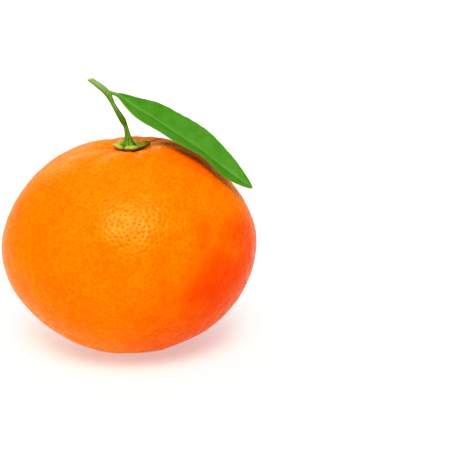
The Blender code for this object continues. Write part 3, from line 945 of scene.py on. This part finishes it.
def peel_material():
    """Waxy orange skin: darker glands, warm mottling, painted shade in grooves and on the redder
    lower right.
    """
    paint = Paint("peel_skin")
    # Redder and darker towards the lower right: partly the peel's own tone, partly painted shade
    inputs = {0: paint.place(), 1: RED_AND_SHADE_DIRECTION}
    along = paint.add("ShaderNodeVectorMath", {"operation": "DOT_PRODUCT"}, inputs)
    scatter = paint.noise(RED_AND_SHADE_SCATTER_SIZE, SOFT_DETAIL)
    scatter = paint.math("MULTIPLY_ADD", scatter, RED_AND_SHADE_SCATTER, -RED_AND_SHADE_SCATTER / 2)
    red_and_shade = paint.remap(paint.math("ADD", along.outputs["Value"], scatter), *RED_AND_SHADE_RANGE)
    light = paint.mix(paint.patches(*PEEL_FLECKS), PEEL_LIGHT, PEEL_FLECK)
    colour = paint.mix(red_and_shade, light, PEEL_RED_AND_SHADE)
    colour = paint.mix(paint.share("crown", PEEL_CROWN_SHARE), colour, PEEL_CROWN)
    colour = paint.mix(paint.patches(*PEEL_MOTTLES), colour, PEEL_MOTTLE_TINT, "MULTIPLY")
    colour = paint.mix(paint.patches(*PEEL_PATCHES), colour, PEEL_PATCH_TINT, "MULTIPLY")
    # Painted shade in the wrinkle grooves
    groove = paint.remap(paint.value("wrinkle"), *GROOVE_SHADE_RANGE)
    colour = paint.mix(groove, colour, PEEL_GROOVE_SHADE)
    colour = paint.mix(paint.share("pore", PEEL_PORE_SHARE), colour, PEEL_PORE)
    colour = paint.mix(paint.value("blossom"), colour, PEEL_SCAR)
    paint.let_light_in(*PEEL_DEPTH)
    return paint.finish(
        Base_Color=colour, Roughness=paint.roughness(*PEEL_ROUGHNESS),
        Normal=paint.grain(*PEEL_GRAIN),
        IOR=REFRACTION, Specular_IOR_Level=PEEL_GLOSS, Specular_Tint=PEEL_GLOSS_TINT,
    )


def calyx_material():
    """Yellow-green lobes, painted shade and light, a browned tip and a dark ring at the stalk."""
    paint = Paint("calyx_green")
    along_x = paint.axis("X")
    patches = paint.noise(CALYX_PATCH_SIZE, SOFT_DETAIL)
    colour = paint.mix(patches, CALYX_LIGHT, CALYX_GREEN)
    # Painted shade at the rims of the lobes
    colour = paint.mix(paint.remap(paint.value("edge"), *RIM_SHADE_RANGE), colour, CALYX_RIM_SHADE)
    # Painted shade out along +X, where a browned, dried tip also lies further out, and painted
    # light along -X
    colour = paint.mix(paint.remap(along_x, *CALYX_SHADE_RANGE), colour, CALYX_SIDE_SHADE)
    colour = paint.mix(paint.remap(along_x, *BROWNED_AND_SHADE_RANGE), colour, CALYX_BROWNED_AND_SHADE)
    colour = paint.mix(paint.remap(along_x, *LIT_SIDE_RANGE), colour, CALYX_LIT_SIDE)
    # Painted shade in the creases between the lobes
    crease = paint.remap(paint.value("middle"), *CREASE_SHADE_RANGE)
    colour = paint.mix(crease, colour, CALYX_CREASE_SHADE)
    colour = paint.mix(paint.value("foot"), colour, CALYX_FOOT)
    paint.let_light_in(*CALYX_DEPTH)
    return paint.finish(
        Base_Color=colour, Roughness=CALYX_ROUGHNESS, IOR=REFRACTION,
        Normal=paint.grain(*CALYX_GRAIN),
    )


def stalk_material():
    """Green streaked bark, darker at the node, painted shade on one side, paler up the twig."""
    paint = Paint("stalk_green")
    place = paint.place()
    height = paint.axis("Z", place)
    along = paint.add("ShaderNodeMapping", {}, {"Vector": place, "Scale": STREAK_STRETCH})
    streak = paint.noise(STREAK_SIZE, SOFT_DETAIL, along.outputs[0])
    streak = paint.remap(streak, *STREAK_RANGE)
    colour = paint.mix(streak, STALK_GREEN, STALK_STREAK)
    node_start = paint.remap(height, *NODE_START_RANGE)
    node = paint.math("MULTIPLY", node_start, paint.remap(height, *NODE_END_RANGE))
    colour = paint.mix(node, colour, STALK_NODE)
    # Painted shade on the stalk's +X side, stronger lower down
    sideways = paint.remap(paint.value("sideways"), *SIDEWAYS_RANGE)
    side_shade = paint.math("MULTIPLY", paint.remap(height, *SIDE_SHADE_RANGE), sideways)
    colour = paint.mix(side_shade, colour, STALK_SIDE_SHADE)
    colour = paint.mix(paint.remap(height, *TWIG_RANGE), colour, STALK_TWIG)
    colour = paint.mix(paint.value("cut"), colour, STALK_CUT)
    return paint.finish(
        Base_Color=colour, Roughness=STALK_ROUGHNESS, IOR=REFRACTION,
        Normal=paint.bump(streak, *STALK_RELIEF),
    )


def leaf_material():
    """Glossy green above, paler below, with light midrib, veins and margin."""
    paint = Paint("leaf_green")
    upper = paint.mix(paint.patches(*LEAF_CLOUDS), LEAF_DARK, LEAF_GREEN)
    upper = paint.mix(paint.patches(*LEAF_SPECKLES), upper, LEAF_SPECKLE)
    upper = paint.mix(paint.share("vein", LEAF_VEIN_SHARE), upper, LEAF_VEIN)
    upper = paint.mix(paint.share("rib", LEAF_RIB_SHARE), upper, LEAF_RIB)
    patches = paint.noise(LEAF_UNDER_PATCH_SIZE, SOFT_DETAIL)
    lower = paint.mix(patches, LEAF_UNDER, LEAF_UNDER_PALE)
    lower = paint.mix(paint.share("rib", LEAF_UNDER_RIB_SHARE), lower, LEAF_UNDER_RIB)
    colour = paint.mix(paint.value("under"), upper, lower)
    colour = paint.mix(paint.share("margin", LEAF_MARGIN_SHARE), colour, LEAF_MARGIN)
    size, depth, strength = LEAF_CELLS
    inputs = {"Vector": paint.place(), "Scale": 1 / size}
    cells = paint.add("ShaderNodeTexVoronoi", {}, inputs).outputs["Distance"]
    paint.let_light_in(*LEAF_DEPTH)
    return paint.finish(
        Base_Color=colour, Roughness=paint.roughness(*LEAF_ROUGHNESS), IOR=REFRACTION,
        Normal=paint.bump(cells, depth, strength),
    )


def build_floor():
    """A plain white floor."""
    shape = bmesh.new()
    bmesh.ops.create_grid(shape, x_segments=2, y_segments=2, size=FLOOR_SIZE)
    mesh = bpy.data.meshes.new("floor")
    shape.to_mesh(mesh)
    shape.free()
    mesh.materials.append(Paint("pale_floor").finish(
        Base_Color=FLOOR_COLOUR, Roughness=FLOOR_ROUGHNESS, Specular_IOR_Level=FLOOR_GLOSS,
        Emission_Color=WHITE, Emission_Strength=FLOOR_GLOW,
    ))
    link_object("floor", mesh)


def build_lights():
    """Soft lamps and a pale surround."""
    world = bpy.data.worlds.new("surround")
    world.use_nodes = True
    background = world.node_tree.nodes["Background"]
    background.inputs["Color"].default_value = WHITE
    background.inputs["Strength"].default_value = SURROUND_STRENGTH
    bpy.context.scene.world = world
    for name, kind, place, size, strength, colour in LIGHTS:
        light = bpy.data.lights.new(name, kind)
        light.energy = strength
        light.color = colour
        if kind == "SUN":
            light.angle = size
        else:
            light.shape = "DISK"
            light.size = size
        lamp = link_object(name, light)
        lamp.location = place
        aim = Vector(LIGHT_TARGET) - Vector(place)
        lamp.rotation_euler = aim.to_track_quat("-Z", "Y").to_euler()


def build_camera():
    """The camera, and the tone of its picture."""
    scene = bpy.context.scene
    camera = bpy.data.cameras.new("camera")
    camera.lens = CAMERA_LENS
    eye = link_object("camera", camera)
    eye.location = CAMERA_PLACE
    eye.rotation_euler = (CAMERA_TILT, 0.0, 0.0)
    scene.camera = eye
    scene.view_settings.view_transform = "Standard"
    scene.view_settings.use_curve_mapping = True
    mapping = scene.view_settings.curve_mapping
    for channel, curve in ((TONE_CHANNEL, TONE_CURVE), (BLUE_CHANNEL, BLUE_CURVE)):
        for place in curve:
            mapping.curves[channel].points.new(*place)
    mapping.update()


def main():
    """Dress the four nodes and set the stage."""
    dress(build_skin(), peel_material(), "fruit")
    dress(build_calyx(), calyx_material(), "calyx")
    dress(build_stalk(), stalk_material(), "stalk")
    dress(build_leaf(), leaf_material(), "leaf")
    build_floor()
    build_lights()
    build_camera()


main()
